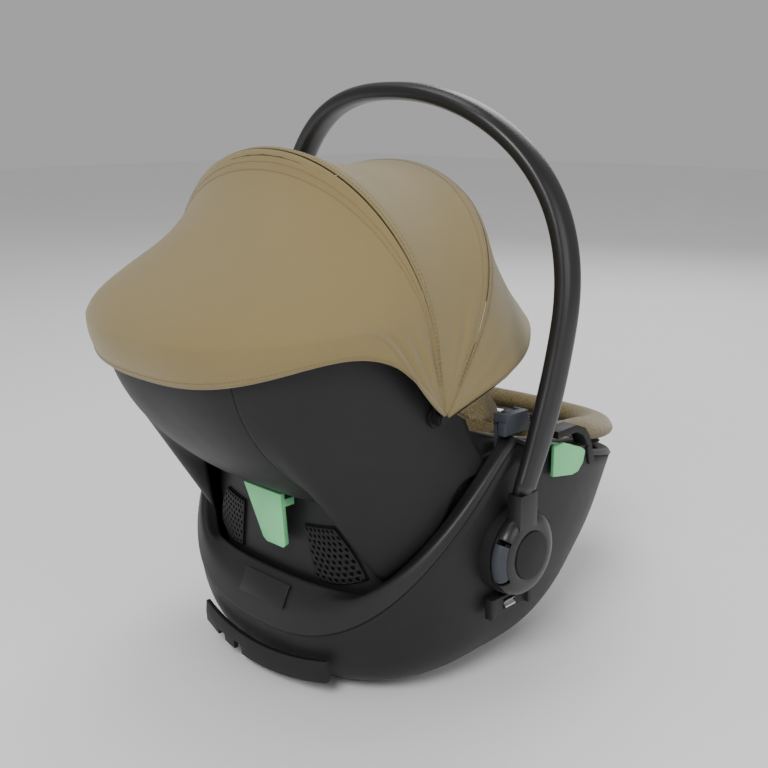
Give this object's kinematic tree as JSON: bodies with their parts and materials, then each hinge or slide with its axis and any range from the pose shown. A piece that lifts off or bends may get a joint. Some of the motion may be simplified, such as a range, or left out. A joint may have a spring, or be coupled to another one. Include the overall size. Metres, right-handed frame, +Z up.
{
  "type": "infant car seat",
  "caption": "Rear-facing infant car seat with a rocker base, swinging carry handle, folding three-bow canopy, padded bucket and belt guides.",
  "frame": {"origin": "centre of the resting face, straight below the handle's pivot axis", "axes": "+X to the child's left, +Y towards the head end, +Z up"},
  "size_m": [0.455, 0.663, 0.6085],
  "materials": {
    "black_plastic": "fine grain",
    "satin_black_plastic": "satin",
    "slate_plastic": "fine grain",
    "green_plastic": "smooth matte",
    "red_plastic": "smooth",
    "steel": "brushed",
    "rubber": "matte",
    "foam": "expanded foam",
    "seat_fabric": "knitted melange",
    "canopy_fabric": "fine plain weave",
    "webbing": "woven strap"
  },
  "bodies": {
    "seat": {"base_shell": "black_plastic", "rim_band": "black_plastic", "badge_plate": "slate_plastic", "rest_feet": "rubber", "seat_shell": "black_plastic", "seat_pan": "black_plastic", "back_cover": "black_plastic", "side_cover_left": "black_plastic", "side_cover_right": "black_plastic", "vent_panel_left": "black_plastic", "vent_panel_right": "black_plastic", "shoulder_belt_guide": "green_plastic", "lap_belt_guide_left": "green_plastic", "lap_belt_guide_right": "green_plastic", "belt_arch_left": "black_plastic", "belt_arch_right": "black_plastic", "foam_liner": "foam", "seat_cover": "seat_fabric", "rim_pad": "seat_fabric", "side_wing_left": "seat_fabric", "side_wing_right": "seat_fabric", "lumbar_insert": "seat_fabric", "shoulder_straps": "webbing", "shoulder_pads": "seat_fabric", "crotch_strap": "webbing", "crotch_pad": "seat_fabric", "buckle_body": "black_plastic", "buckle_tongues": "steel", "adjuster_housing": "black_plastic", "adjuster_strap": "webbing", "hub_bearings": "black_plastic", "pivot_pins": "steel", "lock_springs": "steel", "canopy_clips": "black_plastic", "canopy_pins": "black_plastic", "canopy_rear": "canopy_fabric", "adapter_sockets": "black_plastic", "grip_spring": "steel", "shell_screws": "steel"},
    "handle": {"hub_left": "satin_black_plastic", "hub_right": "satin_black_plastic", "hub_caps": "slate_plastic", "carry_bar": "satin_black_plastic"},
    "handle_button_left": {"hub_button_left": "slate_plastic"},
    "handle_button_right": {"hub_button_right": "slate_plastic"},
    "lock_left": {"lock_gear_left": "steel"},
    "lock_right": {"lock_gear_right": "steel"},
    "canopy_bow_rear": {"rear_bow": "black_plastic", "canopy_middle": "canopy_fabric"},
    "canopy_bow_middle": {"middle_bow": "black_plastic", "canopy_visor": "canopy_fabric"},
    "canopy_bow_visor": {"visor_bow": "black_plastic"},
    "headrest": {"headrest": "seat_fabric"},
    "buckle_press": {"buckle_button": "red_plastic"},
    "adjuster_press": {"adjuster_button": "slate_plastic"},
    "trigger_left": {"adapter_trigger_left": "slate_plastic"},
    "trigger_right": {"adapter_trigger_right": "slate_plastic"},
    "pawl_left": {"adapter_pawl_left": "steel"},
    "pawl_right": {"adapter_pawl_right": "steel"},
    "base_release": {"release_grip": "black_plastic"}
  },
  "joints": [
    {"name": "handle_swing", "type": "hinge", "parent": "seat", "child": "handle", "pos_m": [0, 0, 0.15], "axis": [-1, 0, 0], "range_deg": [-35, 100]},
    {"name": "handle_button_left", "type": "slide", "parent": "handle", "child": "handle_button_left", "axis": [0, -1, 0], "range_m": [0, 0.0045], "stiffness_N_per_m": 900},
    {"name": "lock_slide_left", "type": "slide", "parent": "seat", "child": "lock_left", "axis": [-1, 0, 0], "range_m": [0, 0.0037], "stiffness_N_per_m": 600, "deforming": ["lock_springs"]},
    {"name": "adapter_trigger_left", "type": "slide", "parent": "seat", "child": "trigger_left", "axis": [0, 0, 1], "range_m": [0, 0.008], "stiffness_N_per_m": 500, "springref_m": -0.002},
    {"name": "adapter_pawl_left", "type": "slide", "parent": "seat", "child": "pawl_left", "axis": [-1, 0, 0], "range_m": [0, 0.004], "stiffness_N_per_m": 600},
    {"name": "handle_button_right", "type": "slide", "parent": "handle", "child": "handle_button_right", "axis": [0, -1, 0], "range_m": [0, 0.0045], "stiffness_N_per_m": 900},
    {"name": "lock_slide_right", "type": "slide", "parent": "seat", "child": "lock_right", "axis": [1, 0, 0], "range_m": [0, 0.0037], "stiffness_N_per_m": 600, "deforming": ["lock_springs"]},
    {"name": "adapter_trigger_right", "type": "slide", "parent": "seat", "child": "trigger_right", "axis": [0, 0, 1], "range_m": [0, 0.008], "stiffness_N_per_m": 500, "springref_m": -0.002},
    {"name": "adapter_pawl_right", "type": "slide", "parent": "seat", "child": "pawl_right", "axis": [1, 0, 0], "range_m": [0, 0.004], "stiffness_N_per_m": 600},
    {"name": "canopy_rear_fold", "type": "hinge", "parent": "seat", "child": "canopy_bow_rear", "pos_m": [0, 0.09, 0.302], "axis": [-1, 0, 0], "range_deg": [0, 28], "deforming": ["canopy_rear", "canopy_middle", "canopy_visor"]},
    {"name": "canopy_middle_fold", "type": "hinge", "parent": "canopy_bow_rear", "child": "canopy_bow_middle", "pos_m": [0, 0.09, 0.302], "axis": [-1, 0, 0], "range_deg": [0, 34], "deforming": ["canopy_rear", "canopy_middle", "canopy_visor"]},
    {"name": "canopy_visor_fold", "type": "hinge", "parent": "canopy_bow_middle", "child": "canopy_bow_visor", "pos_m": [0, 0.09, 0.302], "axis": [-1, 0, 0], "range_deg": [-6, 35], "deforming": ["canopy_rear", "canopy_middle", "canopy_visor"]},
    {"name": "headrest_slide", "type": "slide", "parent": "seat", "child": "headrest", "axis": [0, 0.6582, 0.7528], "range_m": [0, 0.03]},
    {"name": "buckle_press", "type": "slide", "parent": "seat", "child": "buckle_press", "axis": [0, 0.0698, -0.9976], "range_m": [0, 0.0035], "stiffness_N_per_m": 1200},
    {"name": "adjuster_press", "type": "slide", "parent": "seat", "child": "adjuster_press", "axis": [0, -0.4067, -0.9136], "range_m": [0, 0.0022], "stiffness_N_per_m": 1200},
    {"name": "base_release_pull", "type": "slide", "parent": "seat", "child": "base_release", "axis": [0, -1, 0], "range_m": [0, 0.005], "stiffness_N_per_m": 700, "deforming": ["grip_spring"]}
  ],
  "couplings": [
    {"joint": "lock_slide_left", "follows": "handle_button_left", "ratio": 0.82},
    {"joint": "lock_slide_right", "follows": "handle_button_right", "ratio": 0.82},
    {"joint": "adapter_pawl_left", "follows": "adapter_trigger_left", "ratio": 0.5},
    {"joint": "adapter_pawl_right", "follows": "adapter_trigger_right", "ratio": 0.5}
  ]
}
